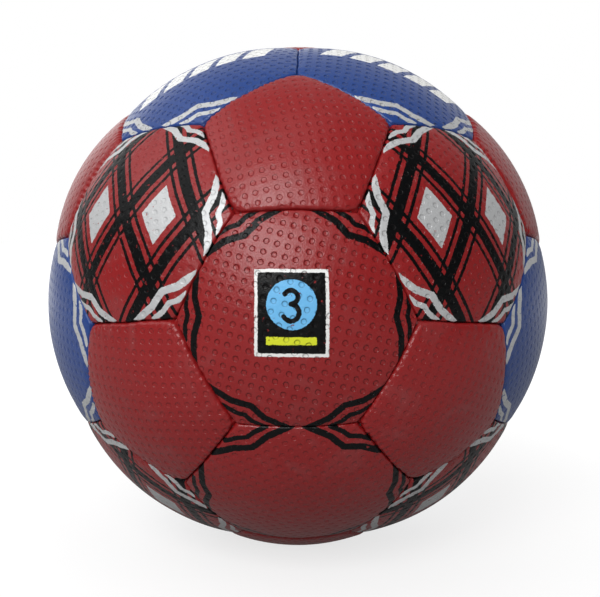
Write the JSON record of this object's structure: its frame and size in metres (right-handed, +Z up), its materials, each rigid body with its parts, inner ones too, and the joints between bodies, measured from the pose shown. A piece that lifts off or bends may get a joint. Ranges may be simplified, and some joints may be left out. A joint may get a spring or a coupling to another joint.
{
  "type": "handball",
  "caption": "Hand-stitched team handball with grained pentagon and hexagon panels over foam, lining and an air bladder with a needle valve.",
  "frame": {"origin": "the centre of the ball, which is the centre of its box", "axes": "-Y runs out through the front hexagon, +Y out through the valve and its needle bore, +Z is up through the seam between the two crown hexagons"},
  "size_m": [0.1858, 0.1879, 0.1872],
  "materials": {
    "red_cover": "grained synthetic leather, satin",
    "blue_cover": "grained synthetic leather, satin",
    "foam": "closed-cell foam, matte",
    "lining": "woven cloth laminate, matte",
    "thread": "waxed polyester thread",
    "bladder_rubber": "latex sheet, matte",
    "patch": "natural rubber, matte",
    "valve_rubber": "moulded rubber, matte",
    "core_rubber": "moulded rubber, satin"
  },
  "bodies": {
    "root": {"pentagon_front_top": "red_cover", "pentagon_front_left": "red_cover", "pentagon_front_right": "red_cover", "pentagon_rim_bottom": "red_cover", "pentagon_rim_right": "red_cover", "pentagon_rim_left": "red_cover", "pentagon_rear_top": "red_cover", "pentagon_rear_left": "red_cover", "pentagon_rear_right": "red_cover", "pentagon_back_bottom": "red_cover", "pentagon_back_right": "red_cover", "pentagon_back_left": "red_cover", "hexagon_front": "red_cover", "hexagon_front_bottom": "red_cover", "hexagon_front_right": "red_cover", "hexagon_front_left": "red_cover", "hexagon_crown_right": "blue_cover", "hexagon_crown_left": "blue_cover", "hexagon_left_upper": "blue_cover", "hexagon_left_lower": "red_cover", "hexagon_right_lower": "red_cover", "hexagon_right_upper": "blue_cover", "hexagon_base_left": "blue_cover", "hexagon_base_right": "blue_cover", "hexagon_rear_right_lower": "blue_cover", "hexagon_rear_right_upper": "red_cover", "hexagon_rear_left_upper": "red_cover", "hexagon_rear_left_lower": "blue_cover", "hexagon_back_top": "red_cover", "hexagon_back_left": "red_cover", "hexagon_back_right": "red_cover", "hexagon_valve": "red_cover", "pentagon_foams": "foam", "hexagon_foams": "foam", "pentagon_linings": "lining", "hexagon_linings": "lining", "seam_thread": "thread", "bladder": "bladder_rubber", "valve_patch": "patch", "valve_stem": "valve_rubber", "valve_core": "core_rubber"}
  },
  "joints": []
}
